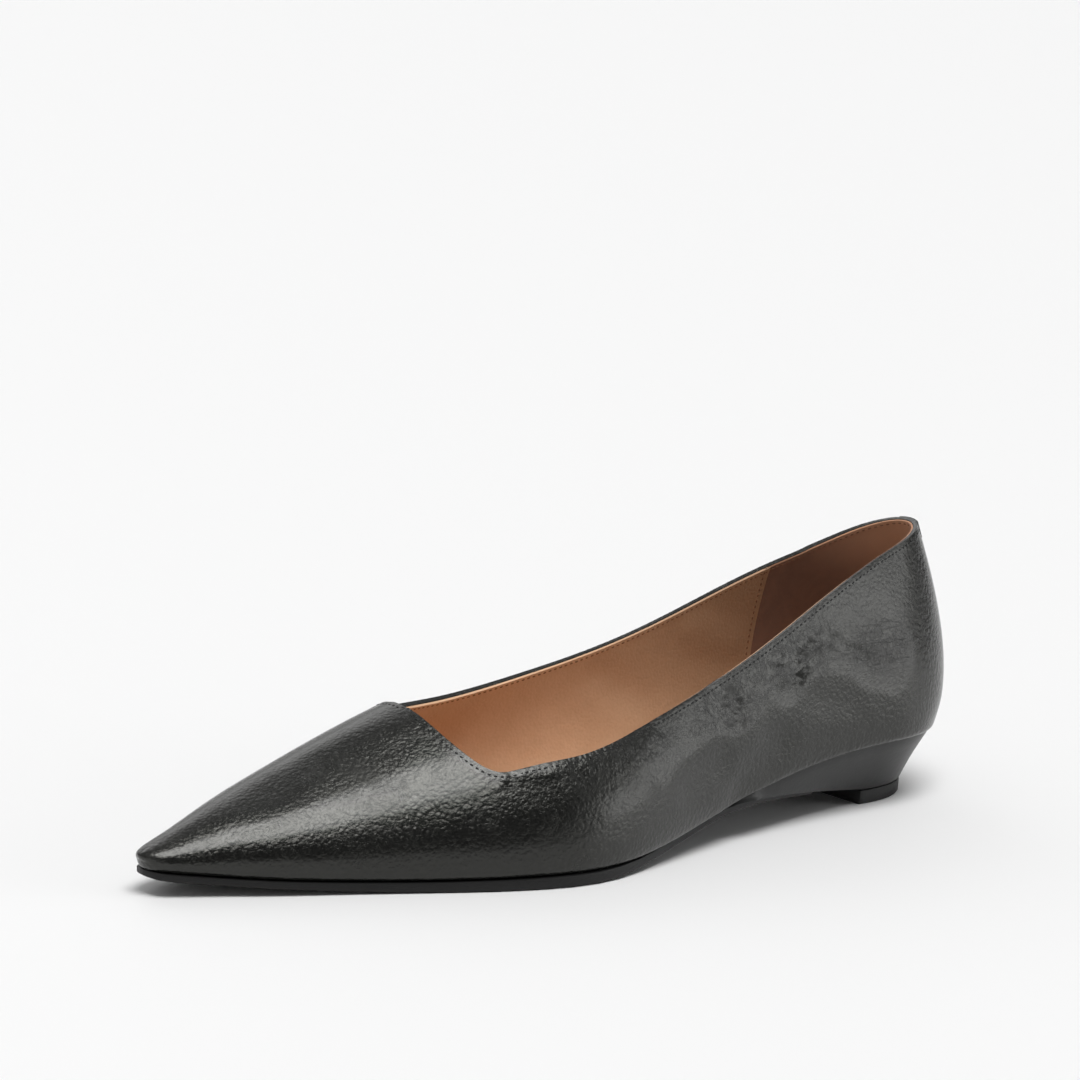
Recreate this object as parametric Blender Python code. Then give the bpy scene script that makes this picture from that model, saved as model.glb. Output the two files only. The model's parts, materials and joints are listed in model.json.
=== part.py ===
"""A woman's pointed flat for the left foot: leather upper, insole, outsole, low covered wedge heel and top lift.

The shoe stands on the floor, z = 0, with its toe towards -Y, its outer (lateral) side towards +X and the origin
under the middle of its box. Every size is in metres. Inside the functions a place along the shoe is its distance
from the toe tip, and heights are above the floor.
"""

import math
from collections import namedtuple

import bmesh
import bpy
import numpy as np

# Driving sizes
LENGTH = 0.262
BALL_WIDTH = 0.0780
VAMP_HEIGHT = 0.0425
SEAT_HEIGHT = 0.0191
BACK_HEIGHT = 0.0560
TOE_SPRING = 0.0049
WALL = 0.0018
MARGIN = 0.0050
ROLL = 0.0022
TOE_THICKNESS = 0.0017
SOLE_THICKNESS = 0.0030
WAIST_THICKNESS = 0.0018
INSOLE_THICKNESS = 0.0026
LIFT_THICKNESS = 0.0040
LIFT_HALF_WIDTH = 0.0165
LIFT_LENGTH = 0.0243
HEEL_RAKE = 0.0088
GAP = 0.0003

# Places along the shoe, from the toe tip
THROAT = 0.298 * LENGTH
THROAT_DEPTH = 0.050 * LENGTH
SPRING_END = 0.31 * LENGTH
ARCH_START = 0.40 * LENGTH
ARCH_END = 0.90 * LENGTH
HEEL_CENTRE = 0.866 * LENGTH
SEAT_BACK = LENGTH - 0.0035
WEDGE_FRONT = 0.668 * LENGTH
LIFT_BACK = SEAT_BACK - HEEL_RAKE
LIFT_FRONT = LIFT_BACK - LIFT_LENGTH
SOLE_END = WEDGE_FRONT + 0.6 * (LIFT_FRONT - WEDGE_FRONT)
INSOLE_FRONT = 0.035 * LENGTH

# Rounding of the toe: how far back the plan and the nose take to lose their point
TIP_ROUND = 0.0080
NOSE_ROUND = 0.0050
NOSE_SHARE = 0.85
NOSE_BULGE = 0.0008
NOSE_BULGE_REACH = 0.0100

# How square the curves are, where 2 is an ellipse: the throat, the heel at its seat and the collar round the back
THROAT_SQUARENESS = 2.6
HEEL_SQUARENESS = 2.2
COLLAR_SQUARENESS = 2.0

# How fast each side of the collar closes in, per unit of length, where its curve round the back begins
COLLAR_TAPER = 0.19

# One row for each section of the last. Along is a share of LENGTH; centre, half width, the flare of the outer and
# the inner wall and the ridge's shift are shares of BALL_WIDTH, positive towards the outer side; ridge is a share
# of VAMP_HEIGHT; side and crown say how long the wall stays upright and how flat the top is.
SectionRow = namedtuple("SectionRow", "along centre half outer_flare inner_flare ridge shift side crown")
SECTIONS = [
    SectionRow(0.000, -0.115, 0.092, 0.000, 0.000, 0.12, 0.00, 0.55, 0.45),
    SectionRow(0.050, -0.108, 0.141, 0.012, 0.012, 0.27, -0.01, 0.55, 0.44),
    SectionRow(0.100, -0.100, 0.217, 0.025, 0.025, 0.42, -0.02, 0.52, 0.43),
    SectionRow(0.170, -0.086, 0.313, 0.030, 0.030, 0.60, -0.03, 0.50, 0.42),
    SectionRow(0.250, -0.042, 0.402, 0.035, 0.035, 0.81, -0.04, 0.48, 0.42),
    SectionRow(0.334, 0.018, 0.474, 0.038, 0.045, 1.00, -0.05, 0.46, 0.45),
    SectionRow(0.410, 0.052, 0.502, 0.038, 0.065, 1.14, -0.06, 0.46, 0.48),
    SectionRow(0.500, 0.071, 0.446, 0.040, 0.100, 1.31, -0.07, 0.46, 0.50),
    SectionRow(0.590, 0.066, 0.366, 0.048, 0.130, 1.50, -0.07, 0.44, 0.50),
    SectionRow(0.680, 0.048, 0.325, 0.048, 0.120, 1.64, -0.04, 0.42, 0.50),
    SectionRow(0.780, 0.018, 0.322, 0.044, 0.070, 1.72, -0.02, 0.40, 0.38),
    SectionRow(0.866, 0.000, 0.327, 0.040, 0.040, 1.74, 0.00, 0.34, 0.20),
]

# How much of each section's height the upper keeps behind the throat, on the outer and the inner side.
ToplineRow = namedtuple("ToplineRow", "along outer inner")
TOPLINE = [
    ToplineRow(0.298, 0.585, 0.875),
    ToplineRow(0.345, 0.618, 0.765),
    ToplineRow(0.410, 0.602, 0.664),
    ToplineRow(0.500, 0.588, 0.606),
    ToplineRow(0.590, 0.550, 0.548),
    ToplineRow(0.680, 0.545, 0.522),
    ToplineRow(0.780, 0.598, 0.557),
    ToplineRow(0.866, 0.668, 0.630),
]

# The back of the upper, seen from the side, as one cubic: distance back from the seat's edge, and height, both as
# shares of BACK_HEIGHT.
BACK_CURVE = [(0.0, 0.0), (0.14, 0.22), (0.06, 0.62), (-0.08, 1.0)]

# Mesh counts, and how the columns lean towards the throat
TOE_STATIONS = 8
VAMP_STATIONS = 11
THROAT_STATIONS = 9
QUARTER_STATIONS = 17
HEEL_STEPS = 9
WALL_ROWS = 9
TOE_FINE = 0.045 * LENGTH
LEAN_START = THROAT - 0.035 * LENGTH
LEAN_END = THROAT + THROAT_DEPTH + 0.010 * LENGTH
LEAN = 1.4

Column = namedtuple("Column", "side origin heading reach along turn top cut")


def natural_spline(places, values):
    """The natural cubic spline through the points, as a function of the place."""
    x = np.array(places, float)
    y = np.array(values, float)
    count = len(x)
    step = np.diff(x)
    matrix = np.eye(count)
    right = np.zeros(count)
    for i in range(1, count - 1):
        matrix[i, i - 1 : i + 2] = [step[i - 1], 2 * (step[i - 1] + step[i]), step[i]]
        right[i] = 6 * ((y[i + 1] - y[i]) / step[i] - (y[i] - y[i - 1]) / step[i - 1])
    bend = np.linalg.solve(matrix, right)

    def value(place):
        place = min(max(place, x[0]), x[-1])
        i = min(max(int(np.searchsorted(x, place)) - 1, 0), count - 2)
        a = (x[i + 1] - place) / step[i]
        b = 1 - a
        curve = ((a**3 - a) * bend[i] + (b**3 - b) * bend[i + 1]) * step[i] ** 2 / 6
        return float(a * y[i] + b * y[i + 1] + curve)

    return value


def column_of(table, name, unit):
    """One column of a table as a smooth function of the distance from the toe tip."""
    spline = natural_spline([row.along for row in table], [getattr(row, name) for row in table])
    return lambda along: unit * spline(along / LENGTH)


centre_line = column_of(SECTIONS, "centre", BALL_WIDTH)
plan_half = column_of(SECTIONS, "half", BALL_WIDTH)
outer_flare = column_of(SECTIONS, "outer_flare", BALL_WIDTH)
inner_flare = column_of(SECTIONS, "inner_flare", BALL_WIDTH)
ridge_shift = column_of(SECTIONS, "shift", BALL_WIDTH)
ridge_rise = column_of(SECTIONS, "ridge", VAMP_HEIGHT)
side_share = column_of(SECTIONS, "side", 1)
crown_share = column_of(SECTIONS, "crown", 1)
outer_cut = column_of(TOPLINE, "outer", 1)
inner_cut = column_of(TOPLINE, "inner", 1)


def ease(share, sharpness=2.0):
    """Rises from 0 to 1 with a level start and end."""
    share = min(max(share, 0.0), 1.0)
    return share**sharpness / (share**sharpness + (1 - share) ** sharpness)


def point_round(along, radius):
    """0 at the toe tip and 1 further back, so that what it multiplies ends in a round and not a point."""
    return math.sqrt(max(0.0, 1 - (radius / (radius + along)) ** 2))


def feather_half(along):
    """Half the width of the upper's bottom edge."""
    return plan_half(along) * point_round(along, TIP_ROUND)


def toe_rise(along):
    """Height of the sole's underside in front of the arch: toe spring, then flat on the floor."""
    return TOE_SPRING * max(0.0, 1 - along / SPRING_END) ** 2


def fore_thickness(along):
    """The sole's thickness in front of the arch, thinner towards the toe."""
    return TOE_THICKNESS + (SOLE_THICKNESS - TOE_THICKNESS) * ease((along - 0.08 * LENGTH) / (0.32 * LENGTH), 1.4)


def feather_height(along):
    """Height of the upper's bottom edge: on the sole at the forefoot, then up over the arch to the seat."""
    forefoot = SOLE_THICKNESS + GAP
    arch = (SEAT_HEIGHT - forefoot) * ease((along - ARCH_START) / (ARCH_END - ARCH_START), 1.7)
    return toe_rise(along) + fore_thickness(along) + GAP + arch


def ridge_height(along):
    """Height of the last's top line above the upper's bottom edge."""
    nose = NOSE_SHARE + (1 - NOSE_SHARE) * point_round(along, NOSE_ROUND)
    return ridge_rise(along) * nose


def cubic(points, t):
    """The point at t on a cubic Bezier curve."""
    p = np.array(points, float)
    s = 1 - t
    return s**3 * p[0] + 3 * s * s * t * p[1] + 3 * s * t * t * p[2] + t**3 * p[3]


def side_curve(side, along):
    """One side of the last's section as four cubic handles: distance from the centre line, and height."""
    half = feather_half(along)
    height = ridge_height(along)
    ridge = side * ridge_shift(along) * point_round(along, TIP_ROUND)
    flare = (outer_flare if side > 0 else inner_flare)(along) * point_round(along, TIP_ROUND)
    return [
        (half, ROLL),
        (half + flare, ROLL + side_share(along) * (height - ROLL)),
        (ridge + crown_share(along) * (half - ridge), height),
        (ridge, height),
    ]


def cut_place(side, along, cut):
    """Where the section's curve reaches this share of its height."""
    curve = side_curve(side, along)
    low, high = 0.0, 1.0
    for _ in range(40):
        middle = (low + high) / 2
        if cubic(curve, middle)[1] < cut * ridge_height(along):
            low = middle
        else:
            high = middle
    return (low + high) / 2


def back_profile():
    """Rows of the wall down the middle of the back, as (distance from the heel's centre, height)."""
    reach = SEAT_BACK - HEEL_CENTRE
    curve = [(reach + x * BACK_HEIGHT, ROLL + z * (BACK_HEIGHT - ROLL)) for x, z in BACK_CURVE]
    return [cubic(curve, row / WALL_ROWS) for row in range(WALL_ROWS + 1)]


def rounded(side_reach, back_reach, turn, power=HEEL_SQUARENESS):
    """Reach from the heel's centre at an angle, on an oval with these reaches to the side and to the back."""
    across = (math.cos(turn) / side_reach) ** power if math.cos(turn) > 1e-9 else 0.0
    along = (math.sin(turn) / back_reach) ** power
    return (across + along) ** (-1 / power)


def side_columns(side):
    """The columns of one side as (place at the bottom, place at the top, share of the height kept)."""
    end = THROAT + THROAT_DEPTH
    cut = outer_cut if side > 0 else inner_cut
    bottoms = [TOE_FINE * (i / TOE_STATIONS) ** 2 for i in range(TOE_STATIONS)]
    bottoms += list(np.linspace(TOE_FINE, LEAN_START, VAMP_STATIONS))
    made = [(low, low * THROAT / LEAN_START, 1.0) for low in bottoms]
    for i in range(1, THROAT_STATIONS):
        share = i / THROAT_STATIONS
        angle = math.pi / 2 * share
        across = math.sin(angle) ** (2 / THROAT_SQUARENESS)
        behind = 1 - math.cos(angle) ** (2 / THROAT_SQUARENESS)
        low = (1 - share) * LEAN_START + share * LEAN_END
        top = THROAT + behind * THROAT_DEPTH
        made.append((low, top, 1 - (1 - cut(top)) * across**2))
    for i in range(QUARTER_STATIONS + 1):
        share = i / QUARTER_STATIONS
        top = (1 - share) * end + share * HEEL_CENTRE
        made.append(((1 - share) * LEAN_END + share * HEEL_CENTRE, top, cut(top)))
    return made


def plain_columns(side, start, end, half):
    """Straight columns between two places, closer together at the toe tip."""
    tiny = 0.0008
    places = [low for low, _, _ in side_columns(side) if start + tiny < low < end - tiny]
    return [
        Column(side, (centre_line(along), along), (side, 0.0), half(along), along, 0.0, along, 1.0)
        for along in [start] + places + [end]
    ]


def heel_columns(side, side_reach, back_reach):
    """Columns that fan round the heel's centre, without the first, which the last straight one is."""
    made = []
    cut = (outer_cut if side > 0 else inner_cut)(HEEL_CENTRE)
    origin = (centre_line(HEEL_CENTRE), HEEL_CENTRE)
    for i in range(1, HEEL_STEPS + 1):
        turn = math.pi / 2 * i / HEEL_STEPS
        heading = (side * math.cos(turn), math.sin(turn))
        reach = rounded(side_reach, back_reach, turn)
        along = HEEL_CENTRE + reach * heading[1]
        made.append(Column(side, origin, heading, reach, along, turn, along, cut))
    return made


def heel_side_columns(side, start):
    """One side's columns from a place along the shoe round to the middle of the back."""
    columns = plain_columns(side, start, HEEL_CENTRE, feather_half)
    return columns + heel_columns(side, feather_half(HEEL_CENTRE), SEAT_BACK - HEEL_CENTRE)


def plan_point(column, reach):
    return (
        column.origin[0] + reach * column.heading[0],
        column.origin[1] + reach * column.heading[1],
    )


def inward_normals(points):
    """Unit vectors that point into a closed plan outline which runs outer side first, toe to heel."""
    made = []
    count = len(points)
    for i in range(count):
        before = points[i - 1]
        after = points[(i + 1) % count]
        run = (after[0] - before[0], after[1] - before[1])
        size = math.hypot(*run)
        made.append((-run[1] / size, run[0] / size))
    return made


def upper_columns():
    """The upper's columns as one closed ring: outer side from toe to back, then inner side back to the toe."""
    sides = []
    for side in (1, -1):
        columns = [
            Column(side, (centre_line(low), low), (side, 0.0), feather_half(low), low, 0.0, top, cut)
            for low, top, cut in side_columns(side)
        ]
        sides.append(columns + heel_columns(side, feather_half(HEEL_CENTRE), SEAT_BACK - HEEL_CENTRE))
    outer, inner = sides
    return outer + inner[-2:0:-1]


RING = upper_columns()
FEATHER = [plan_point(column, column.reach) for column in RING]
INWARD = inward_normals(FEATHER)


def feather_inset(inset):
    """The upper's bottom outline moved inwards, as plan points."""
    return [(p[0] + inset * n[0], p[1] + inset * n[1]) for p, n in zip(FEATHER, INWARD)]


def straight_wall(column):
    """The wall of a column in front of the heel, from its place at the bottom to its place at the top."""
    last = 1.0 if column.cut == 1.0 else cut_place(column.side, column.top, column.cut)
    points = []
    for row in range(WALL_ROWS + 1):
        share = row / WALL_ROWS
        along = column.along + (column.top - column.along) * share**LEAN
        reach, height = cubic(side_curve(column.side, along), last * share)
        near_tip = max(0.0, 1 - along / NOSE_BULGE_REACH)
        bulge = NOSE_BULGE * math.sin(math.pi * share) * near_tip
        x = centre_line(along) + column.side * reach
        points.append((x, along - bulge, feather_height(along) + height))
    return points


def heel_wall(column):
    """The wall of a column of the heel's fan, between the side's profile and the back's."""
    last = cut_place(column.side, HEEL_CENTRE, column.cut)
    curve = side_curve(column.side, HEEL_CENTRE)
    low = feather_height(column.along)
    points = []
    for row, (back_reach, back_height) in enumerate(back_profile()):
        side_reach, side_height = cubic(curve, last * row / WALL_ROWS)
        power = HEEL_SQUARENESS + (COLLAR_SQUARENESS - HEEL_SQUARENESS) * row / WALL_ROWS
        taper = COLLAR_TAPER * row / WALL_ROWS * math.sin(column.turn) * math.cos(column.turn) ** 2
        reach = rounded(side_reach, back_reach, column.turn, power) * (1 - taper)
        share = reach * math.sin(column.turn) / back_reach
        height = (1 - share) * side_height + share * back_height
        points.append((*plan_point(column, reach), low + height))
    return points


def wall_column(column):
    """The wall of one column, as points from the bottom edge to the top."""
    return heel_wall(column) if column.turn else straight_wall(column)


def weld(faces):
    """Shared points and the faces on them, from faces given as lists of points. Points less than 1 um apart join."""
    index = {}
    points = []
    joined = []
    for face in faces:
        corners = []
        for point in face:
            key = tuple(round(value * 1e6) for value in point)
            if key not in index:
                index[key] = len(points)
                points.append(point)
            if index[key] not in corners:
                corners.append(index[key])
        if len(corners) > 2:
            joined.append(corners)
    return points, joined


def add_piece(name, faces, material):
    """Makes a named object with its material from faces given as lists of points."""
    points, joined = weld(faces)
    mesh = bpy.data.meshes.new(name)
    mesh.from_pydata(points, [], joined)
    work = bmesh.new()
    work.from_mesh(mesh)
    bmesh.ops.recalc_face_normals(work, faces=work.faces)
    work.to_mesh(mesh)
    work.free()
    mesh.shade_smooth()
    mesh.set_sharp_from_angle(angle=math.radians(40))
    mesh.materials.append(material)
    piece = bpy.data.objects.new(name, mesh)
    bpy.context.scene.collection.objects.link(piece)
    return piece


def add_material(name, colour, roughness, metallic=0.0):
    material = bpy.data.materials.new(name)
    material.use_nodes = True
    shader = material.node_tree.nodes["Principled BSDF"]
    shader.inputs["Base Color"].default_value = (*colour, 1.0)
    shader.inputs["Roughness"].default_value = roughness
    shader.inputs["Metallic"].default_value = metallic
    return material


def strips(columns):
    """The faces between neighbouring columns of points."""
    made = []
    for left, right in zip(columns, columns[1:]):
        for row in range(len(left) - 1):
            made.append([left[row], right[row], right[row + 1], left[row + 1]])
    return made


def make_upper(material):
    """The outer skin from the lasting margin up to the topline, given its wall inwards."""
    turned_in = [(MARGIN, 0.0), (ROLL, 0.0), (0.3 * ROLL, 0.25 * ROLL)]
    rows = [(feather_inset(inset), height) for inset, height in turned_in]
    columns = []
    for i, column in enumerate(RING):
        under = [(*ring[i], feather_height(ring[i][1]) + height) for ring, height in rows]
        columns.append(under + wall_column(column))
    piece = add_piece("upper", strips(columns + columns[:1]), material)
    wall = piece.modifiers.new("wall", "SOLIDIFY")
    wall.thickness = WALL
    wall.offset = -1
    wall.use_even_offset = True
    wall.use_rim = True
    return piece


def solid_of(levels):
    """Faces of a solid from levels, each an outer and an inner run of points of the same count, top level first."""
    faces = []
    for outer, inner in (levels[0], levels[-1]):
        for i in range(len(outer) - 1):
            faces.append([outer[i], outer[i + 1], inner[i + 1], inner[i]])
    for (outer_a, inner_a), (outer_b, inner_b) in zip(levels, levels[1:]):
        ring_a = outer_a + inner_a[::-1]
        ring_b = outer_b + inner_b[::-1]
        for i in range(len(ring_a)):
            j = (i + 1) % len(ring_a)
            faces.append([ring_a[i], ring_a[j], ring_b[j], ring_b[i]])
    return faces


def insole_reach(column):
    """Reach of the insole's edge, clear of the wall, with a round toe of its own."""
    clear = WALL + GAP + 0.5 * ROLL
    return (column.reach - clear) * point_round(column.along - INSOLE_FRONT, TIP_ROUND / 2)


def make_insole(material):
    """The insole lies on the turned-in margin, clear of the wall."""
    levels = []
    for inset, height in ((0.0006, INSOLE_THICKNESS), (0.0, INSOLE_THICKNESS * 0.7), (0.0, 0.0)):
        runs = []
        for side in (1, -1):
            run = []
            for column in heel_side_columns(side, INSOLE_FRONT):
                x, y = plan_point(column, max(0.0, insole_reach(column) - inset))
                run.append((x, y, feather_height(y) + WALL + GAP + height))
            runs.append(run)
        levels.append(tuple(runs))
    return add_piece("insole", solid_of(levels), material)


def wedge_share(along):
    """0 at the wedge's front edge and 1 at the top lift."""
    return (along - WEDGE_FRONT) / (LIFT_FRONT - WEDGE_FRONT)


def wedge_underside(along):
    """Height of the wedge's underside: near the upper at the front, on the top lift at the back."""
    edge = 0.0012
    front = feather_height(WEDGE_FRONT) - GAP - edge
    foot = LIFT_THICKNESS + GAP
    return front + (foot - front) * min(max(wedge_share(along), 0.0), 1.0) ** 1.35


def wedge_foot_half(along):
    """Half the width of the wedge's underside."""
    share = ease(wedge_share(along), 1.15)
    return (1 - share) * (feather_half(along) - GAP) + share * LIFT_HALF_WIDTH


def heel_levels(level_of, start):
    """Outer and inner runs of points round the heel for one level, which gives reach and height for a column."""
    runs = []
    for side in (1, -1):
        run = []
        for column in heel_side_columns(side, start):
            reach, height = level_of(column)
            run.append((*plan_point(column, reach), height))
        runs.append(run)
    return tuple(runs)


def foot_reach(column):
    """Reach of the wedge's foot and of the top lift."""
    if column.turn:
        return rounded(LIFT_HALF_WIDTH, LIFT_BACK - HEEL_CENTRE, column.turn)
    return wedge_foot_half(column.along)


def make_wedge(material):
    """The covered wedge heel, from the upper's bottom edge in to its small foot."""
    rows = 5

    def level(share):
        def reach_and_height(column):
            top_reach = column.reach - 4 * GAP
            top = feather_height(column.along) - GAP
            foot = LIFT_THICKNESS + GAP if column.turn else wedge_underside(column.along)
            inward = share**0.85
            reach = (1 - inward) * top_reach + inward * foot_reach(column)
            return reach, (1 - share) * top + share * foot

        return reach_and_height

    levels = [heel_levels(level(i / rows), WEDGE_FRONT) for i in range(rows + 1)]
    return add_piece("wedge_heel", solid_of(levels), material)


def make_top_lift(material):
    """The small rubber lift that the heel stands on."""
    levels = [
        heel_levels(lambda column, h=height, inset=inset: (foot_reach(column) - inset, h), LIFT_FRONT)
        for height, inset in ((LIFT_THICKNESS, 0.0), (LIFT_THICKNESS * 0.12, 0.0002), (0.0, 0.0007))
    ]
    return add_piece("top_lift", solid_of(levels), material)


def sole_top(along):
    """Height of the outsole's top face: under the upper, then under the wedge."""
    if along < WEDGE_FRONT:
        step = feather_height(WEDGE_FRONT) - wedge_underside(WEDGE_FRONT)
        ramp = 0.012
        return feather_height(along) - GAP - step * max(0.0, 1 - (WEDGE_FRONT - along) / ramp)
    return wedge_underside(along) - GAP


def sole_half(along):
    """Half the outsole's width: proud of the upper at the forefoot, drawn in under the waist and the wedge."""
    edge = 0.0004
    waist_inset = 0.0020
    drawn = ease((along - ARCH_START) / (0.16 * LENGTH), 1.6)
    under = feather_half(along) if along < WEDGE_FRONT else wedge_foot_half(along)
    return under + (1 - drawn) * edge - drawn * waist_inset


def sole_thickness(along):
    """The outsole's thickness, thinner at the toe and again under the waist."""
    share = ease((along - ARCH_START) / (0.20 * LENGTH), 1.6)
    end = 0.4 * max(0.0, (along - WEDGE_FRONT) / (SOLE_END - WEDGE_FRONT))
    return (1 - share) * fore_thickness(along) + share * (1 - end) * WAIST_THICKNESS


def make_outsole(material):
    """The thin outsole, from the toe tip along the arch and the wedge's underside, short of the top lift."""
    tip_inset = 0.0008
    levels = []
    for depth, inset in ((0.0, 0.0), (0.8, 0.0001), (1.0, 0.0006)):
        runs = []
        for side in (1, -1):
            run = []
            for column in plain_columns(side, 0.0, SOLE_END, sole_half):
                along = column.along
                open_share = point_round(along, TIP_ROUND)
                reach = max(0.0, column.reach - inset) * open_share / max(open_share, 1e-9)
                x, y = plan_point(column, reach if along > 0 else 0.0)
                ahead = (inset + tip_inset) * (1 - open_share)
                run.append((x, y + ahead, sole_top(along) - depth * sole_thickness(along)))
            runs.append(run)
        levels.append(tuple(runs))
    return add_piece("outsole", solid_of(levels), material)


def stand_on_origin(pieces):
    """Parents the pieces to an empty that puts the middle of their box over the origin."""
    corners = []
    graph = bpy.context.evaluated_depsgraph_get()
    for piece in pieces:
        mesh = piece.evaluated_get(graph).to_mesh()
        corners += [tuple(vertex.co) for vertex in mesh.vertices]
    low, high = np.min(corners, 0), np.max(corners, 0)
    shoe = bpy.data.objects.new("shoe", None)
    shoe.location = (-(low[0] + high[0]) / 2, -(low[1] + high[1]) / 2, 0.0)
    bpy.context.scene.collection.objects.link(shoe)
    for piece in pieces:
        piece.parent = shoe


def main():
    for old in list(bpy.data.objects):
        bpy.data.objects.remove(old, do_unlink=True)
    black_leather = add_material("black_leather", (0.016, 0.017, 0.016), 0.35)
    tan_leather = add_material("tan_leather", (0.45, 0.22, 0.10), 0.50)
    sole_black = add_material("sole_black", (0.020, 0.020, 0.020), 0.50)
    heel_cover_black = add_material("heel_cover_black", (0.020, 0.020, 0.020), 0.45)
    lift_rubber = add_material("lift_rubber", (0.022, 0.022, 0.022), 0.65)
    pieces = [
        make_upper(black_leather),
        make_insole(tan_leather),
        make_outsole(sole_black),
        make_wedge(heel_cover_black),
        make_top_lift(lift_rubber),
    ]
    stand_on_origin(pieces)


main()
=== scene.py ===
"""A left-foot pointed flat in black glazed leather, lined in tan, on a low covered wedge.

The solids come with their true shape. Here the upper is parted into its leather and its lining,
creased and stitched, and every piece gets its finish, on a plain pale floor.
"""
import json
import math
from contextlib import contextmanager

import bpy
from mathutils import Matrix, Quaternion, Vector
from mathutils.kdtree import KDTree

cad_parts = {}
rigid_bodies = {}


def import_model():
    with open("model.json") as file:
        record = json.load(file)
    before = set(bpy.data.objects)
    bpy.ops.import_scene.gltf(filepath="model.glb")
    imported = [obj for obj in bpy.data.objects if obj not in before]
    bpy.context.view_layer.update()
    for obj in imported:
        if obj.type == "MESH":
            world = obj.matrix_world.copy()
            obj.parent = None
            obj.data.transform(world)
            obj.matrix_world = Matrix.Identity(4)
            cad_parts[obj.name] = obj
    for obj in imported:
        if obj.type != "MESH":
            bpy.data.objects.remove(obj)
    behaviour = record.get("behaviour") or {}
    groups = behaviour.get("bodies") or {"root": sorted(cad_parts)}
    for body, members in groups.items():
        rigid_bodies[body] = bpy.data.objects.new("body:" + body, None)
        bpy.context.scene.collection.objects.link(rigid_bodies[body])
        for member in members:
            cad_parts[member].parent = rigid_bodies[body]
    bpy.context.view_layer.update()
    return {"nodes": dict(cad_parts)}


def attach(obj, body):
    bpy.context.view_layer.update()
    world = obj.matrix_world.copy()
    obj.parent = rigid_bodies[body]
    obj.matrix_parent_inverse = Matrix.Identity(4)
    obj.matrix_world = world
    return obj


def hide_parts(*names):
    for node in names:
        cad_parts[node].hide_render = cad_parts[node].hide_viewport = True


for leftover in list(bpy.data.objects):
    bpy.data.objects.remove(leftover)

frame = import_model()

MM = 0.001

# Thickness of the leather, the rounding of its folded edge, the thickness of the lining, what the front
# lining adds to it and how far the lining's edge is drawn down below the leather's
SKIN = 1.22 * MM
EDGE_FOLD = 0.40 * MM
LINING = 0.48 * MM
LINING_LAP = 0.16 * MM
LINING_DROP = 0.12 * MM

# The stitches below the collar's edge
STITCH_DROP = 1.45 * MM
LINING_STITCH_DROP = 1.05 * MM
STITCH_PITCH = 1.75 * MM
STITCH_SIZE = (1.15 * MM, 0.62 * MM, 0.40 * MM)
STITCH_SINK = 0.06 * MM

# How far round its edge the lining is drawn down with it
LINING_EDGE_REACH = 1.6 * MM

# Where the front lining ends over the counter lining, how far the counter runs on under it, how far
# its stitches lie from that end, the heights in millimetres at which a place for them is looked for and
# how far from the shoe's middle each look starts
COUNTER_SEAM = 86.5 * MM
COUNTER_UNDERLAP = 1.5 * MM
SEAM_MARGIN = 1.6 * MM
SEAM_HEIGHTS = range(12, 62)
SEAM_SEARCH = 8 * MM

# How far the wedge's cover laps up under the upper
COVER_LAP = 0.75 * MM

# How far the sole's upper faces are raised, so that the upper sits on it with no dark line
SOLE_LAP = 0.25 * MM

# The thin tongue that the wedge's cover runs out to in front, between the upper and the sole
NOSE_LENGTH = 12.0 * MM
NOSE_DROP = 1.35 * MM
NOSE_THINNING = 0.25

# The tab at the top of the heel, cut from the leather behind TAB_REGION
TAB_CENTRE = -3.5 * MM
TAB_WIDTH = 7.5 * MM
TAB_HEIGHT = 5.0 * MM
TAB_THICKNESS = 0.40 * MM
TAB_REGION = 100 * MM

# The rounding of each piece's sharp edges
TAB_ROUNDING = 0.18 * MM
SOCK_ROUNDING = 0.55 * MM
SOLE_ROUNDING = 0.24 * MM
COVER_ROUNDING = 0.30 * MM
LIFT_ROUNDING = 0.30 * MM

# How far a pucker spreads, and how many times deeper it is pressed than its row in PUCKERS says
PUCKER_SPREAD = 2.1 * MM
PUCKER_GAIN = 1.9


def only(*pieces):
    """Selects these pieces and nothing else."""
    bpy.ops.object.select_all(action="DESELECT")
    for piece in pieces:
        piece.select_set(True)
    bpy.context.view_layer.objects.active = pieces[0]


@contextmanager
def editing(piece, mode="FACE"):
    """Edit mode on one piece, with what its mesh has marked as selected."""
    only(piece)
    bpy.ops.object.mode_set(mode="EDIT")
    bpy.ops.mesh.select_mode(type=mode)
    yield
    bpy.ops.object.mode_set(mode="OBJECT")


def mark(piece, faces=(), corners=()):
    """Marks the given faces, or single corners, of a mesh as selected, and nothing else."""
    mesh = piece.data
    for part in (mesh.vertices, mesh.edges, mesh.polygons):
        part.foreach_set("select", [False] * len(part))
    for face in faces:
        mesh.polygons[face].select = True
        for corner in mesh.polygons[face].vertices:
            mesh.vertices[corner].select = True
    for corner in corners:
        mesh.vertices[corner].select = True


def faces_where(piece, suits):
    """The faces whose centre and normal suit."""
    return [face.index for face in piece.data.polygons if suits(face.center, face.normal)]


def parted(piece, name):
    """Moves the selected faces to a piece of their own."""
    with editing(piece):
        bpy.ops.mesh.separate(type="SELECTED")
    new = next(o for o in bpy.context.selected_objects if o is not piece)
    new.name = name
    return new


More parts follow.
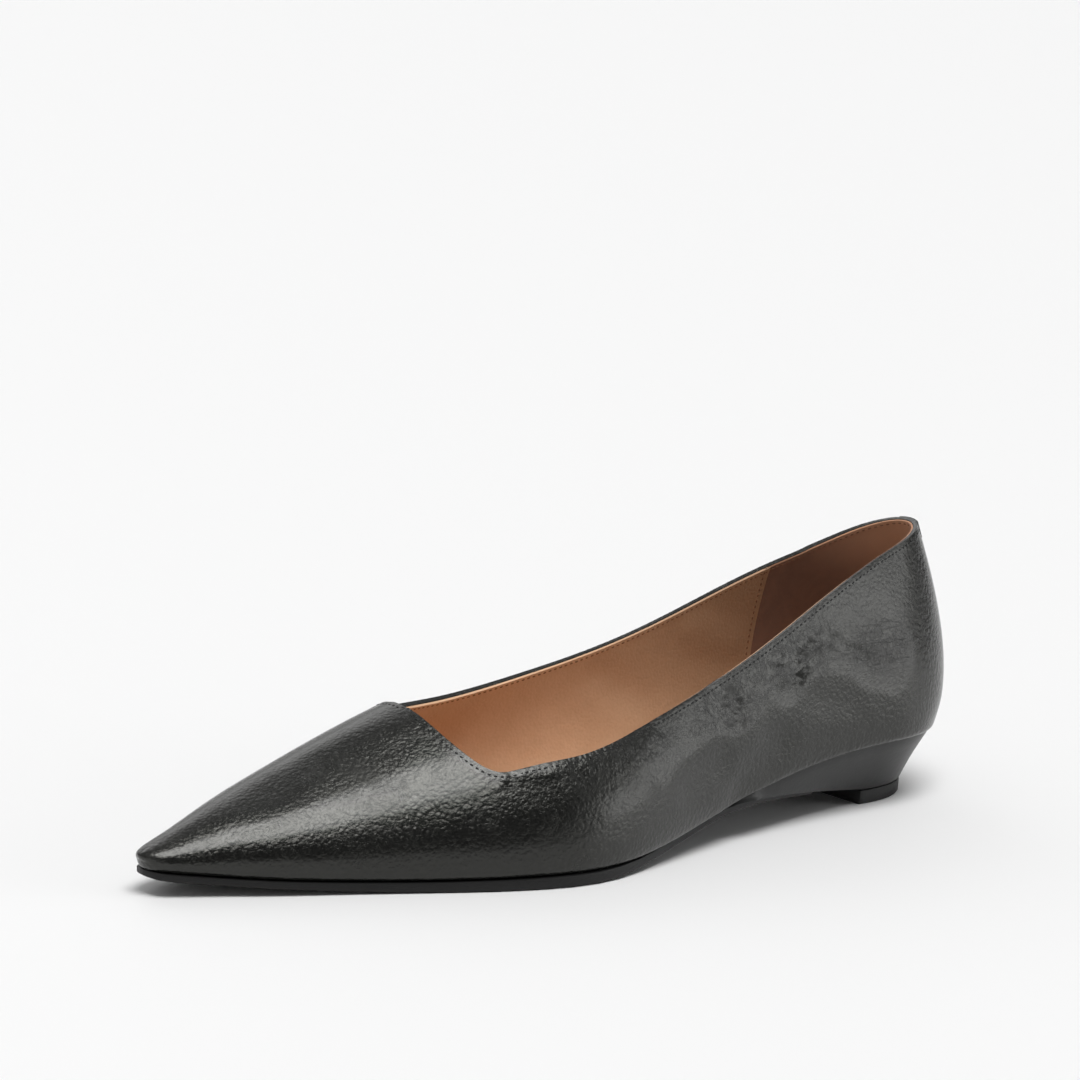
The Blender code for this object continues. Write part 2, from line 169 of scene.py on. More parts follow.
def copy_of(node, name):
    """A whole, welded copy of a solid, in quads where its faces pair up."""
    piece = frame["nodes"][node].copy()
    piece.data = piece.data.copy()
    piece.name = name
    piece.parent = None
    for key in list(piece.keys()):
        del piece[key]
    bpy.context.scene.collection.objects.link(piece)
    with editing(piece):
        bpy.ops.mesh.select_all(action="SELECT")
        bpy.ops.mesh.customdata_custom_splitnormals_clear()
        bpy.ops.mesh.remove_doubles(threshold=1e-6)
        bpy.ops.mesh.tris_convert_to_quads(face_threshold=math.radians(60), shape_threshold=math.radians(80))
    return piece


def finished(piece, kind, **settings):
    """Adds one modifier with its settings and applies it."""
    only(piece)
    modifier = piece.modifiers.new(kind.lower(), kind)
    for name, value in settings.items():
        setattr(modifier, name, value)
    bpy.ops.object.modifier_apply(modifier=modifier.name)


def rounded(piece, width, angle=50, segments=2):
    """Rounds a piece's sharp edges and shades it smooth."""
    finished(
        piece, "BEVEL", width=width, segments=segments, limit_method="ANGLE",
        angle_limit=math.radians(angle), harden_normals=False,
    )
    smooth(piece)


def smooth(piece, angle=42):
    """Shades a piece smooth but for its edges sharper than an angle in degrees."""
    only(piece)
    bpy.ops.object.shade_smooth_by_angle(angle=math.radians(angle))


def dressed(piece, finish, slot, *nodes):
    """Gives a piece its finish and its body, and hides the solids that it stands for."""
    piece.data.materials.clear()
    for each in finish if isinstance(finish, tuple) else (finish,):
        piece.data.materials.append(each)
    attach(piece, "root")
    if nodes:
        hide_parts(*nodes)
    return piece


class Shade:
    """A value on its way through a finish's nodes. Sums and products of it add maths nodes."""

    def __init__(self, finish, socket):
        self.finish = finish
        self.socket = socket

    def __add__(self, other):
        return self.finish.maths("ADD", self, other)

    def __sub__(self, other):
        return self.finish.maths("SUBTRACT", self, other)

    def __rsub__(self, other):
        return self.finish.maths("SUBTRACT", other, self)

    def __mul__(self, other):
        return self.finish.maths("MULTIPLY", self, other)

    def __abs__(self):
        return self.finish.maths("ABSOLUTE", self)

    __radd__ = __add__
    __rmul__ = __mul__


class Finish:
    """One material on a single principled shader, with the numbers that are the same all over set on it."""

    def __init__(self, name, **even):
        self.material = bpy.data.materials.new(name)
        self.material.use_nodes = True
        self.tree = self.material.node_tree
        self.tree.nodes.clear()
        self.shader = self.tree.nodes.new("ShaderNodeBsdfPrincipled")
        output = self.tree.nodes.new("ShaderNodeOutputMaterial")
        self.tree.links.new(self.shader.outputs[0], output.inputs["Surface"])
        for socket, value in even.items():
            self.shader.inputs[socket.replace("_", " ").title().replace("Ior", "IOR")].default_value = value
        self.place = self.node("ShaderNodeTexCoord", out="Object")

    def node(self, kind, settings=None, values=None, out=0):
        """A node with its settings made first, then its sockets' values or links."""
        new = self.tree.nodes.new(kind)
        for name, value in (settings or {}).items():
            setattr(new, name, value)
        for name, value in (values or {}).items():
            if isinstance(name, int):
                socket = new.inputs[name]
            else:
                socket = next(s for s in new.inputs if s.name == name and s.enabled)
            if isinstance(value, Shade):
                self.tree.links.new(value.socket, socket)
            else:
                socket.default_value = value
        outputs = [s for s in new.outputs if s.enabled]
        return Shade(self, new.outputs[out] if isinstance(out, str) else outputs[out])

    def maths(self, operation, *values):
        """One sum on numbers or values that vary."""
        return self.node("ShaderNodeMath", {"operation": operation}, dict(enumerate(values)))

    def step(self, value, low, high):
        """0 below low, 1 above high and smooth between."""
        limits = {"Value": value, "From Min": low, "From Max": high}
        return self.node("ShaderNodeMapRange", {"interpolation_type": "SMOOTHSTEP"}, limits)

    def turned(self, stretch=(1, 1, 1), turn=(0, 0, 0)):
        """Object places, stretched and turned for a grain that has a direction."""
        angles = tuple(math.radians(a) for a in turn)
        values = {"Vector": self.place, "Rotation": angles, "Scale": stretch}
        return self.node("ShaderNodeMapping", None, values)

    def noise(self, size, detail=3.0, roughness=0.5, distortion=0.0, place=None, start=0.0):
        """Cloudy noise from 0 to 1 with patches of about the given size in metres."""
        values = {
            "Vector": place or self.place, "W": start, "Scale": 1 / size,
            "Detail": detail, "Roughness": roughness, "Distortion": distortion,
        }
        return self.node("ShaderNodeTexNoise", {"noise_dimensions": "4D"}, values)

    def pebbles(self, size, softness=0.4):
        """Rounded cells of the given size in metres: 0 at their middles."""
        settings = {"feature": "SMOOTH_F1"}
        values = {"Vector": self.place, "Scale": 1 / size, "Smoothness": softness}
        return self.node("ShaderNodeTexVoronoi", settings, values, out="Distance")

    def place_along(self, axis):
        """How far along one of the shoe's axes a point lies."""
        return self.node("ShaderNodeSeparateXYZ", None, {"Vector": self.place}, out="XYZ"[axis])

    def mixed(self, share, first, second):
        """One colour turning into another as share goes from 0 to 1."""
        first, second = ((*c, 1.0) if isinstance(c, tuple) and len(c) == 3 else c for c in (first, second))
        values = {"Factor": share, "A": first, "B": second}
        return self.node("ShaderNodeMix", {"data_type": "RGBA"}, values)

    def patch(self, centre, size):
        """1 at a place on the shoe, falling to 0 at size from it, both in millimetres."""
        middle = tuple(c * MM for c in centre)
        gap = self.node("ShaderNodeVectorMath", {"operation": "SUBTRACT"}, {0: self.place, 1: middle})
        spread = tuple(1 / (s * MM) for s in size)
        gap = self.node("ShaderNodeVectorMath", {"operation": "MULTIPLY"}, {0: gap, 1: spread})
        far = self.node("ShaderNodeVectorMath", {"operation": "LENGTH"}, {0: gap}, out="Value")
        return 1 - self.step(far, 0.15, 1.0)

    def lines(self, noise, width):
        """1 on the lines where a noise passes its middle value, falling to 0 at width from it."""
        return 1 - self.step(abs(noise - 0.5), 0.0, width)

    def feeds(self, socket, value):
        """Links a value that varies to one of the shader's sockets."""
        self.tree.links.new(value.socket, self.shader.inputs[socket])

    def raised(self, height):
        """The surface's relief, a height in metres."""
        bump = self.node("ShaderNodeBump", None, {"Height": height, "Strength": 1.0, "Distance": 1.0})
        self.feeds("Normal", bump)


def worn_and_shaded_places(finish):
    """Where the black leather is dull and darkened: patches on the vamp, whose darker colour is a painted
    dark reflection, and ragged scuffs along the outer quarter, partly dark marks and partly painted shade in
    their dents.
    """
    uneven = finish.noise(8 * MM, detail=4.0, start=6.0)
    # Painted dark reflection: these vamp patches are made rougher and, in the colour, darker where the vamp's
    # highlight breaks.
    dulled = finish.patch((3, -79, 28), (13, 17, 8)) * finish.step(uneven, 0.30, 0.62)
    # Scuffs on the quarter: real dark marks that also carry painted shade in their dents.
    rubbed = finish.patch((25, 36, 37), (12, 8, 8)) + finish.patch((21.5, 58, 46), (12, 10, 8))
    rubbed = rubbed + finish.patch((20, 69, 50), (10, 10, 4)) + finish.patch((22, 62, 42), (10, 6, 5))
    strokes = finish.turned(stretch=(1.0, 0.45, 1.0), turn=(35, 0, 0))
    torn = finish.noise(1.9 * MM, detail=5.0, roughness=0.65, place=strokes, start=9.0)
    return rubbed * finish.step(torn, 0.47, 0.60) + 0.8 * dulled


def black_leather():
    """Glazed goat: a fine sparkling grain, crinkled in places, dull where it was rubbed, its colour darkened
    as painted shade in the creases and as a painted dark reflection on the vamp's dull patches.
    """
    finish = Finish(
        "black_glazed_leather", specular_ior_level=0.38,
        specular_tint=(1.0, 1.0, 0.93, 1.0), coat_roughness=0.12,
    )
    pebbles = finish.pebbles(1.25 * MM, softness=0.25)
    specks = finish.noise(0.95 * MM, detail=3.0, roughness=0.6)
    clouds = finish.noise(13 * MM, detail=4.0, roughness=0.6)
    swell = finish.noise(20 * MM, detail=2.0, start=3.0)
    ripples = finish.noise(6 * MM, detail=2.0, start=4.0)
    wide_net = finish.noise(7.0 * MM, detail=4.0, roughness=0.6, distortion=0.7)
    fine_net = finish.noise(2.8 * MM, detail=4.0, roughness=0.6, distortion=0.5, start=5.0)
    along = finish.turned(stretch=(1.0, 0.22, 1.0), turn=(-8, 0, 0))
    crinkles = finish.noise(3.1 * MM, detail=3.0, roughness=0.55, distortion=0.4, place=along, start=2.0)
    across = finish.turned(stretch=(0.3, 1.0, 0.3), turn=(20, 0, 0))
    gathers = finish.noise(1.8 * MM, detail=2.0, place=across, start=7.0)

    heel_side = finish.patch((18.5, 94, 45.5), (14, 19, 10))
    wrinkled = heel_side + finish.patch((21, 60, 47), (15, 24, 13)) + finish.patch((26, 33, 38), (15, 20, 13))
    collar_side = finish.patch((31, -12, 31.0), (15, 36, 7.5))
    loose = finish.step(clouds, 0.45, 0.70) * 0.3 + wrinkled
    wide = finish.lines(wide_net, 0.045) * loose
    fine = finish.lines(fine_net, 0.05) * (0.10 + loose)
    creased = finish.lines(crinkles, 0.08) * heel_side
    wear_and_painted_light = worn_and_shaded_places(finish)

    height = 0.115 * MM * (1 - pebbles) + 0.210 * MM * specks + 0.40 * MM * swell + 0.12 * MM * ripples
    height = height - 0.11 * MM * wide - 0.06 * MM * fine - 0.25 * MM * creased
    height = height + 0.75 * MM * gathers * collar_side + 1.10 * MM * crinkles * heel_side
    finish.raised(height)
    sparkle = finish.step(specks, 0.50, 0.66)
    tone = finish.mixed(0.35 * clouds + 0.65 * sparkle, (0.0035, 0.0036, 0.0034), (0.0150, 0.0152, 0.0140))
    # The colour darkens along the crinkle lines and heel creases as painted shade, and on the vamp's dull
    # patches as a painted dark reflection. On the quarter's scuffs it is partly dark marks and partly painted
    # shade.
    tone = finish.mixed(finish.step(wide + fine + creased + wear_and_painted_light, 0.0, 1.4), tone, (0.0020, 0.0020, 0.0020))
    finish.feeds("Base Color", tone)
    finish.feeds("Roughness", 0.19 + 0.10 * clouds + 0.34 * wear_and_painted_light + 0.10 * wide)
    finish.feeds("Coat Weight", 0.32 - 0.14 * clouds - 0.28 * wear_and_painted_light)
    return finish.material


def covering_leather():
    """The same leather drawn tight over the wedge, so smoother."""
    finish = Finish("black_covering_leather", specular_ior_level=0.30, coat_weight=0.10, coat_roughness=0.18)
    pebbles = finish.pebbles(0.8 * MM)
    specks = finish.noise(0.5 * MM, detail=2.0)
    clouds = finish.noise(9 * MM, detail=4.0)
    finish.raised(0.022 * MM * (1 - pebbles) + 0.020 * MM * specks + 0.12 * MM * clouds)
    finish.feeds("Base Color", finish.mixed(clouds, (0.0050, 0.0052, 0.0050), (0.0105, 0.0108, 0.0103)))
    finish.feeds("Roughness", 0.34 + 0.12 * clouds)
    return finish.material


def sole_rubber(name, tone, size, rough):
    """Matt black rubber with a fine moulded grain and a little dust in it."""
    finish = Finish(name, specular_ior_level=0.3)
    pebbles = finish.pebbles(size)
    clouds = finish.noise(18 * MM, detail=5.0, roughness=0.6)
    dust = finish.step(clouds, 0.55, 0.8)
    finish.raised(0.030 * MM * (1 - pebbles))
    dusty = (tone * 2.4, tone * 2.3, tone * 2.1)
    finish.feeds("Base Color", finish.mixed(dust * 0.5, (tone, tone, tone), dusty))
    finish.feeds("Roughness", rough + 0.12 * clouds)
    return finish.material


def tan_leather(name, tone, deep, relief=0.060, rough=0.44):
    """Smooth tan lining leather with fine pores, painted darker towards the heel as shade. The relief is in
    millimetres.
    """
    finish = Finish(name, specular_ior_level=0.4)
    holes = finish.pebbles(0.9 * MM)
    clouds = finish.noise(11 * MM, detail=5.0, roughness=0.62)
    grain = finish.noise(0.7 * MM, detail=3.0)
    finish.raised(relief * MM * (1 - holes) + relief * 0.6 * MM * grain + 0.10 * MM * clouds)
    colour = finish.mixed(0.65 * clouds + 0.35 * grain, deep, tone)
    # Painted shade: the colour darkens towards the heel, where the higher quarters keep light out of the
    # shoe.
    painted_heel_shade = finish.step(finish.place_along(1), 5 * MM, 88 * MM)
    finish.feeds("Base Color", finish.mixed(0.55 * painted_heel_shade, colour, tuple(0.42 * d for d in deep)))
    finish.feeds("Roughness", rough + 0.14 * clouds)
    return finish.material


def counter_suede():
    """Dark tan suede with a short nap that lies in patches, painted paler at the top of the heel as a pool of
    light.
    """
    finish = Finish("counter_suede", specular_ior_level=0.2, sheen_weight=0.25, sheen_roughness=0.5)
    nap = finish.noise(0.35 * MM, detail=4.0, roughness=0.7)
    brushed = finish.noise(7 * MM, detail=5.0, roughness=0.65, distortion=0.8)
    finish.raised(0.06 * MM * nap)
    tone = finish.mixed(0.6 * brushed + 0.4 * nap, (0.11, 0.046, 0.024), (0.32, 0.155, 0.085))
    # Painted light: the top of the heel inside is made paler, where light falls in over the collar.
    wear_and_painted_light = finish.patch((-8, 118, 71), (26, 36, 20))
    finish.feeds("Base Color", finish.mixed(0.75 * wear_and_painted_light, tone, (0.60, 0.32, 0.19)))
    finish.feeds("Roughness", 0.82 + 0.12 * nap)
    return finish.material


def thread(name, tone):
    """Waxed thread, twisted."""
    finish = Finish(name, specular_ior_level=0.4)
    twist = finish.noise(0.22 * MM, detail=2.0)
    finish.raised(0.03 * MM * twist)
    finish.feeds("Base Color", finish.mixed(twist, tuple(0.6 * t for t in tone), tone))
    finish.feeds("Roughness", 0.50 + 0.2 * twist)
    return finish.material


# The sharpest turn within one skin of the upper
SKIN_TURN = math.radians(50)

# Soft troughs, or ridges where the depth is negative, pressed into the upper: the places they run
# through, how wide they spread and how deep they go, all in millimetres
CREASES = (
    (((19, 70, 54), (20, 80, 47), (20, 89, 45)), 4.0, 0.45),
    (((18.5, 80, 52), (19, 90, 48.5), (18, 104, 45)), 3.6, 0.35),
    (((20, 94, 42), (18, 104, 41)), 3.5, 0.30),
    (((20, 86, 41), (19, 97, 37)), 6.0, -0.35),
    (((24.5, 31, 42.5), (26.5, 35, 34.5)), 6.0, 0.40),
    (((20.5, 62, 49), (23.5, 57, 39.5)), 6.5, 0.40),
    (((23, 69, 35), (22.5, 80, 33)), 7.0, 0.35),
    (((32.5, 14.5, 19), (29, 28, 23.5)), 9.0, 0.55),
    (((27, 37, 15), (25, 52.5, 25)), 9.0, 0.55),
    (((29.5, 22, 31), (26, 40.5, 30.5)), 8.0, -0.45),
    (((36, -26, 22.5), (35.5, -6, 22)), 10.0, 0.45),
    (((-9, -100, 22.5), (-5, -87, 27.5), (-2, -76, 30), (3, -66, 32), (8, -55, 35.5)), 11.0, 0.40),
    (((20, 66, 52), (19.5, 76, 49.5), (20, 86, 45.5)), 2.4, 0.30),
    (((-8, -95, 25.5), (-12, -84, 28.5)), 10.0, 0.30),
    (((-31, -30, 24), (-33, -16, 20)), 9.0, 0.45),
    (((-26, 62, 46), (-27, 78, 40)), 8.0, 0.45),
    (((-24, 30, 36), (-26, 44, 28)), 8.0, 0.40),
)

# Puckers that run down from the collar's edge on the outer side: the distance along the shoe at the
# edge, how far it drifts back on its way down, how long it is and how deep, in millimetres
PUCKERS = (
    (-43.5, 2.0, 7.5, 0.16), (-39.0, 2.5, 8.5, 0.22), (-35.5, 2.0, 7.0, 0.18), (-31.0, 3.0, 9.5, 0.26),
    (-27.0, 2.5, 8.0, 0.20), (-22.5, 3.0, 10.0, 0.26), (-18.0, 2.5, 8.5, 0.22), (-13.0, 3.0, 9.0, 0.22),
    (-7.5, 2.0, 7.5, 0.18), (-1.0, 2.0, 7.0, 0.15), (6.0, 2.0, 6.5, 0.12),
)


def corner_finder(piece):
    """Finds a piece's nearest corner to a place."""
    finder = KDTree(len(piece.data.vertices))
    for corner in piece.data.vertices:
        finder.insert(corner.co, corner.index)
    finder.balance()
    return finder


def press(piece, path, spread, depth):
    """Presses a soft trough into a skin along a path of places, all in metres."""
    finder = corner_finder(piece)
    found = set()
    outward = Vector()
    for start, end in zip(path, path[1:]):
        steps = max(1, round((end - start).length / (0.8 * MM)))
        for i in range(steps + 1):
            _, corner, _ = finder.find(start.lerp(end, i / steps))
            if corner not in found:
                found.add(corner)
                outward += piece.data.vertices[corner].normal
    mark(piece, corners=found)
    with editing(piece, "VERT"):
        bpy.ops.transform.translate(
            value=outward.normalized() * -depth, use_proportional_edit=True,
            proportional_edit_falloff="SMOOTH", proportional_size=spread,
        )


def edge_loop(piece):
    """The highest open edge of a skin as an ordered ring of places."""
    uses = {}
    for face in piece.data.polygons:
        for key in face.edge_keys:
            uses[key] = uses.get(key, 0) + 1
    beside = {}
    for (a, b), count in uses.items():
        if count == 1:
            beside.setdefault(a, []).append(b)
            beside.setdefault(b, []).append(a)
    rings = []
    while beside:
        ring = [next(iter(beside))]
        while True:
            following = [n for n in beside.pop(ring[-1]) if n in beside]
            if not following:
                break
            ring.append(following[0])
        rings.append([piece.data.vertices[i].co.copy() for i in ring])
    return max(rings, key=lambda ring: sum(place.z for place in ring) / len(ring))


def row_below(skin, ring, drop):
    """Places at one distance below a ring along the skin, with the skin's normals."""
    row = []
    for i, place in enumerate(ring):
        along = (ring[(i + 1) % len(ring)] - ring[i - 1]).normalized()
        _, _, normal, _ = skin.closest_point_on_mesh(place)
        down = along.cross(normal)
        if down.z > 0:
            down.negate()
        _, place, normal, _ = skin.closest_point_on_mesh(place + down.normalized() * drop)
        row.append((place, normal))
    return row


def spaced(row, pitch, closed=True):
    """Evenly spaced places on a row, each with its direction and normal."""
    points = row + row[:1] if closed else row
    reach = [0.0]
    for (a, _), (b, _) in zip(points, points[1:]):
        reach.append(reach[-1] + (b - a).length)
    count = round(reach[-1] / pitch)
    made = []
    piece = 0
    for i in range(count):
        want = (i + 0.5) * reach[-1] / count
        while reach[piece + 1] < want:
            piece += 1
        (a, normal_a), (b, normal_b) = points[piece], points[piece + 1]
        share = (want - reach[piece]) / (reach[piece + 1] - reach[piece])
        made.append((a.lerp(b, share), (b - a).normalized(), normal_a.lerp(normal_b, share).normalized()))
    return made


def stitched(name, places, finish, slot):
    """One stitch modelled once and copied to every place, then joined to one piece."""
    bpy.ops.mesh.primitive_uv_sphere_add(segments=8, ring_count=6, radius=0.5)
    first = bpy.context.object
    first.scale = STITCH_SIZE
    bpy.ops.object.transform_apply(location=False, rotation=False, scale=True)
    with editing(first):
        bpy.ops.mesh.select_all(action="SELECT")
        bpy.ops.mesh.faces_shade_smooth()
    copies = []
    for place, along, normal in places:
        side = normal.cross(along).normalized()
        along = side.cross(normal)
        copy = first.copy()
        copy.data = first.data.copy()
        bpy.context.scene.collection.objects.link(copy)
        turn = Matrix((along, side, normal)).transposed().to_4x4()
        copy.matrix_world = Matrix.Translation(place - normal * STITCH_SINK) @ turn
        copies.append(copy)
    bpy.data.objects.remove(first)
    bpy.context.view_layer.update()
    only(*copies)
    bpy.ops.object.transform_apply(location=True, rotation=True, scale=True)
    bpy.ops.object.join()
    copies[0].name = name
    return dressed(copies[0], finish, slot)


def cut_along(piece, place, normal, keep_below):
    """Cuts a piece by a plane and keeps one side of it."""
    with editing(piece):
        bpy.ops.mesh.select_all(action="SELECT")
        bpy.ops.mesh.bisect(
            plane_co=place, plane_no=normal, threshold=1e-7,
            clear_outer=keep_below, clear_inner=not keep_below,
        )


def duplicate(piece, name):
    """A second piece of the same shape."""
    new = piece.copy()
    new.data = piece.data.copy()
    new.name = name
    bpy.context.scene.collection.objects.link(new)
    return new


def faired(skin):
    """Rounds a skin off through the solid's own corners, which plain smoothing would draw inwards."""
    true = [corner.co.copy() for corner in skin.data.vertices]
    smoothing = skin.modifiers.new("smoothing", "SUBSURF")
    smoothing.levels = smoothing.render_levels = 2
    for _ in range(3):
        graph = bpy.context.evaluated_depsgraph_get()
        drawn = skin.evaluated_get(graph).data.vertices
        shifts = [place - drawn[i].co for i, place in enumerate(true)]
        for corner, shift in zip(skin.data.vertices, shifts):
            corner.co += shift
        skin.data.update()
        bpy.context.view_layer.update()
    only(skin)
    bpy.ops.object.modifier_apply(modifier="smoothing")


def skins():
    """The upper's outer and inner faces, each a smooth open skin, creased together."""
    shell = copy_of("upper", "shell")
    seed = max(shell.data.polygons, key=lambda face: face.center.x).index
    mark(shell, faces=[seed])
    with editing(shell):
        bpy.ops.mesh.faces_select_linked_flat(sharpness=SKIN_TURN)
    outer = parted(shell, "outer_skin")
    inside = faces_where(shell, lambda c, n: n.x < -0.8 and c.x > 0.02 and abs(c.y + 0.02) < 0.01)
    mark(shell, faces=inside[:1])
    with editing(shell):
        bpy.ops.mesh.faces_select_linked_flat(sharpness=SKIN_TURN)
    inner = parted(shell, "inner_skin")
    bpy.data.objects.remove(shell)
    for skin in (outer, inner):
        faired(skin)
    only(outer, inner)
    bpy.ops.object.join()
    for path, spread, depth in CREASES:
        press(outer, [Vector(place) * MM for place in path], spread * MM, depth * MM)
    rim = [place for place in edge_loop(outer) if place.x > 0]
    for along, drift, length, depth in PUCKERS:
        top = min(rim, key=lambda place: abs(place.y - along * MM))
        low = top + Vector((0.35 * length, drift, -0.9 * length)) * MM
        _, low, _, _ = outer.closest_point_on_mesh(low)
        press(outer, [top + (low - top) * 0.25, low], PUCKER_SPREAD, PUCKER_GAIN * depth * MM)
    with editing(outer):
        bpy.ops.mesh.select_all(action="SELECT")
        bpy.ops.mesh.separate(type="LOOSE")
    pair = sorted(bpy.context.selected_objects, key=lambda o: o.dimensions.x)
    return pair[1], pair[0]


def heel_tab(skin, top, finish):
    """The tab, cut from the leather's own shape below the top of the heel."""
    tab = duplicate(skin, "back_tab")
    cut_along(tab, (TAB_CENTRE + TAB_WIDTH / 2, 0, 0), (1, 0, 0), True)
    cut_along(tab, (TAB_CENTRE - TAB_WIDTH / 2, 0, 0), (1, 0, 0), False)
    cut_along(tab, (0, TAB_REGION, 0), (0, 1, 0), False)
    cut_along(tab, (0, 0, top - TAB_HEIGHT), (0, 0, 1), False)
    finished(tab, "SOLIDIFY", thickness=TAB_THICKNESS, offset=1.0, use_even_offset=True)
    rounded(tab, TAB_ROUNDING)
    dressed(tab, finish, "black_leather")


def upper_leather(skin):
    """The leather with its stitches, its tab, its thickness and its edge folded over at the collar."""
    skin.name = "upper_leather"
    finish = black_leather()
    edge = edge_loop(skin)
    row = spaced(row_below(skin, edge, STITCH_DROP), STITCH_PITCH)
    stitched("collar_stitches", row, thread("black_thread", (0.004, 0.004, 0.004)), "black_leather")
    heel_tab(skin, max(place.z for place in edge), finish)
    finished(skin, "SOLIDIFY", thickness=SKIN, offset=-1.0)
    rounded(skin, EDGE_FOLD, angle=60, segments=3)
    dressed(skin, finish, "black_leather", "upper")


def lowered_edge(lining, edge):
    """Lets the lining's edge sit a little below the leather's fold."""
    finder = corner_finder(lining)
    mark(lining, corners=[finder.find(place)[1] for place in edge])
    with editing(lining, "VERT"):
        bpy.ops.transform.translate(
            value=(0, 0, -LINING_DROP), use_proportional_edit=True,
            proportional_edit_falloff="SMOOTH", proportional_size=LINING_EDGE_REACH,
        )


def seam_row(lining, side):
    """Places on the lining just in front of its end at the counter, from low to high on one side."""
    row = []
    for height in SEAM_HEIGHTS:
        start = Vector((side * SEAM_SEARCH, COUNTER_SEAM - SEAM_MARGIN, height * MM))
        hit, place, normal, _ = lining.ray_cast(start, Vector((side, 0, 0)))
        if hit and abs(normal.x) > 0.5:
            row.append((place + normal * LINING_LAP, normal))
    return row


def thickened_lining(piece, thickness, offset, finish, cut_edge):
    """Gives a lining its thickness and its finish, with another finish on its cut edge."""
    finished(piece, "SOLIDIFY", thickness=thickness, offset=offset, material_offset_rim=1)
    smooth(piece)
    finish_of_faces = [face.material_index for face in piece.data.polygons]
    dressed(piece, (finish, cut_edge), "tan_leather")
    for face, index in zip(piece.data.polygons, finish_of_faces):
        face.material_index = index


def linings(front):
    """The tan lining in front and the suede counter lining round the heel, with their stitches."""
    front.name = "lining"
    edge = edge_loop(front)
    collar_row = spaced(row_below(front, edge, LINING_STITCH_DROP), STITCH_PITCH)
    lowered_edge(front, edge)
    counter = duplicate(front, "counter_lining")
    cut_along(front, (0, COUNTER_SEAM, 0), (0, 1, 0), True)
    cut_along(counter, (0, COUNTER_SEAM - COUNTER_UNDERLAP, 0), (0, 1, 0), False)
    seams = {"inner_seam_stitches": seam_row(front, -1), "outer_seam_stitches": seam_row(front, 1)}

    tan = tan_leather("tan_lining", (0.80, 0.525, 0.335), (0.55, 0.315, 0.175))
    cut_edge = tan_leather("lining_cut_edge", (0.70, 0.52, 0.39), (0.56, 0.38, 0.27), relief=0.03, rough=0.7)
    lap = LINING + LINING_LAP
    thickened_lining(front, lap, (LINING_LAP - LINING) / lap, tan, cut_edge)
    thickened_lining(counter, LINING, -1.0, counter_suede(), cut_edge)

    tan_thread = thread("tan_thread", (0.30, 0.15, 0.075))
    front_row = [(p + n * LINING_LAP, a, n) for p, a, n in collar_row if p.y < COUNTER_SEAM]
    rear_row = [row for row in collar_row if row[0].y >= COUNTER_SEAM]
    stitched("lining_stitches", front_row + rear_row, tan_thread, "tan_leather")
    for name, line in seams.items():
        stitched(name, spaced(line, STITCH_PITCH, closed=False), tan_thread, "tan_leather")


def insole_sock():
    """The padded sock, with a rounded edge."""
    sock = copy_of("insole", "insole_sock")
    rounded(sock, SOCK_ROUNDING, segments=3)
    finish = tan_leather("tan_sock", (0.55, 0.305, 0.165), (0.43, 0.215, 0.108), relief=0.022, rough=0.46)
    dressed(sock, finish, "tan_leather", "insole")


def sole_unit():
    """The sole, raised to meet the upper."""
    sole = copy_of("outsole", "sole_unit")
    mark(sole, faces=faces_where(sole, lambda c, n: n.z > 0.6))
    with editing(sole):
        bpy.ops.transform.translate(value=(0, 0, SOLE_LAP))
    rounded(sole, SOLE_ROUNDING)
    dressed(sole, sole_rubber("sole_rubber", 0.007, 0.9 * MM, 0.46), "sole_black", "outsole")


def covered_wedge():
    """The wedge in its cover, which laps up under the upper and runs out to a thin tongue in front."""
    wedge = copy_of("wedge_heel", "covered_wedge")
    mark(wedge, faces=faces_where(wedge, lambda c, n: n.z > 0.6))
    with editing(wedge):
        bpy.ops.transform.translate(value=(0, 0, COVER_LAP))
    foremost = min(corner.co.y for corner in wedge.data.vertices)
    mark(wedge, faces=faces_where(wedge, lambda c, n: n.y < -0.6 and c.y < foremost + 1 * MM))
    with editing(wedge):
        bpy.ops.mesh.extrude_region_move(TRANSFORM_OT_translate={"value": (0, -NOSE_LENGTH, -NOSE_DROP)})
        bpy.ops.transform.resize(value=(1, 1, NOSE_THINNING))
    rounded(wedge, COVER_ROUNDING, segments=3)
    dressed(wedge, covering_leather(), "heel_cover_black", "wedge_heel")


def heel_lift():
    """The wearing piece under the wedge."""
    lift = copy_of("top_lift", "heel_lift")
    rounded(lift, LIFT_ROUNDING)
    dressed(lift, sole_rubber("lift_rubber", 0.012, 0.6 * MM, 0.55), "lift_rubber", "top_lift")


def paper_floor():
    """A pale floor, wide enough to fill the view."""
    bpy.ops.mesh.primitive_plane_add(size=14, location=(0, 0, 0))
    floor = bpy.context.object
    floor.name = "floor"
    finish = Finish("pale_floor", specular_ior_level=0.25, roughness=0.55, base_color=(0.85, 0.85, 0.85, 1))
    floor.data.materials.append(finish.material)


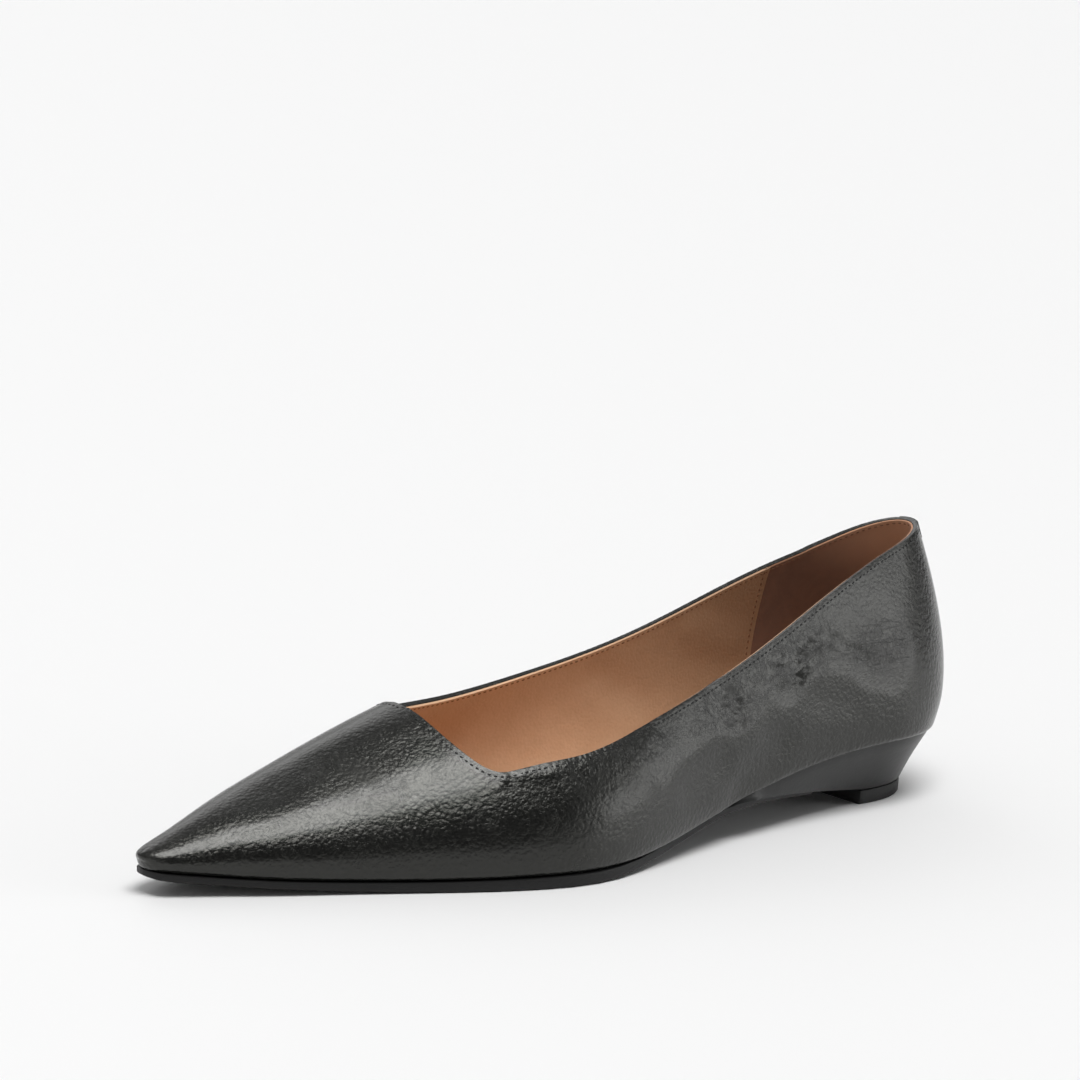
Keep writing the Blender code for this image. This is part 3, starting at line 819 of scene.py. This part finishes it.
class Air(Finish):
    """The light from far away all round the shoe, as strong in each direction as its nodes say."""

    def __init__(self, name):
        world = bpy.data.worlds.new(name)
        bpy.context.scene.world = world
        world.use_nodes = True
        self.tree = world.node_tree
        self.tree.nodes.clear()
        self.shader = self.tree.nodes.new("ShaderNodeBackground")
        output = self.tree.nodes.new("ShaderNodeOutputWorld")
        self.tree.links.new(self.shader.outputs[0], output.inputs["Surface"])
        self.place = self.node("ShaderNodeTexCoord", out="Generated")

    def towards(self, azimuth, elevation, core, edge):
        """1 inside a round patch of the air, falling to 0 at its edge, all in degrees."""
        a, e = math.radians(azimuth), math.radians(elevation)
        middle = (math.sin(a) * math.cos(e), -math.cos(a) * math.cos(e), math.sin(e))
        values = {0: self.place, 1: middle}
        dot = self.node("ShaderNodeVectorMath", {"operation": "DOT_PRODUCT"}, values, out="Value")
        return self.step(dot, math.cos(math.radians(edge)), math.cos(math.radians(core)))


# Azimuth, elevation, core and edge in degrees of each soft glow and each dark patch, and what it adds or
# the share of the light that it takes away
GLOWS = (
    (74, 70, 10, 20, 13.2),
    (-105, 34, 12, 22, 1.25),
    (141, 9, 7, 19, 3.60),
)
DARKS = (
    (80, 31, 19, 31, 0.95),
    (176, 8, 12, 22, 0.80),
    (-75, 78, 6, 16, 0.60),
)
EVEN_AIR = 0.54


def studio_air():
    """Even pale light with soft glows in it, and darker patches that the leather mirrors."""
    air = Air("studio")
    strength = EVEN_AIR
    for *place, added in GLOWS:
        strength = air.towards(*place) * added + strength
    for *place, taken in DARKS:
        strength = strength * (1 - air.towards(*place) * taken)
    air.feeds("Strength", strength)


outer_skin, inner_skin = skins()
upper_leather(outer_skin)
linings(inner_skin)
insole_sock()
sole_unit()
covered_wedge()
heel_lift()
paper_floor()
studio_air()

# The camera's place, aim, roll and lens are matched to the photograph
EYE = Vector((1.1869, -0.99896, 0.40975))
LOOKED_AT = Vector((-0.01746, 0.00099, 0.07867))
ROLL = math.radians(2.4)
LENS = 199.4
SENSOR_WIDTH = 36
bpy.ops.object.camera_add(location=EYE)
camera = bpy.context.object
camera.rotation_mode = "QUATERNION"
camera.rotation_quaternion = (LOOKED_AT - EYE).to_track_quat("-Z", "Y") @ Quaternion((0, 0, 1), ROLL)
camera.data.lens = LENS
camera.data.sensor_width = SENSOR_WIDTH
bpy.context.scene.camera = camera
bpy.context.scene.view_settings.view_transform = "Standard"
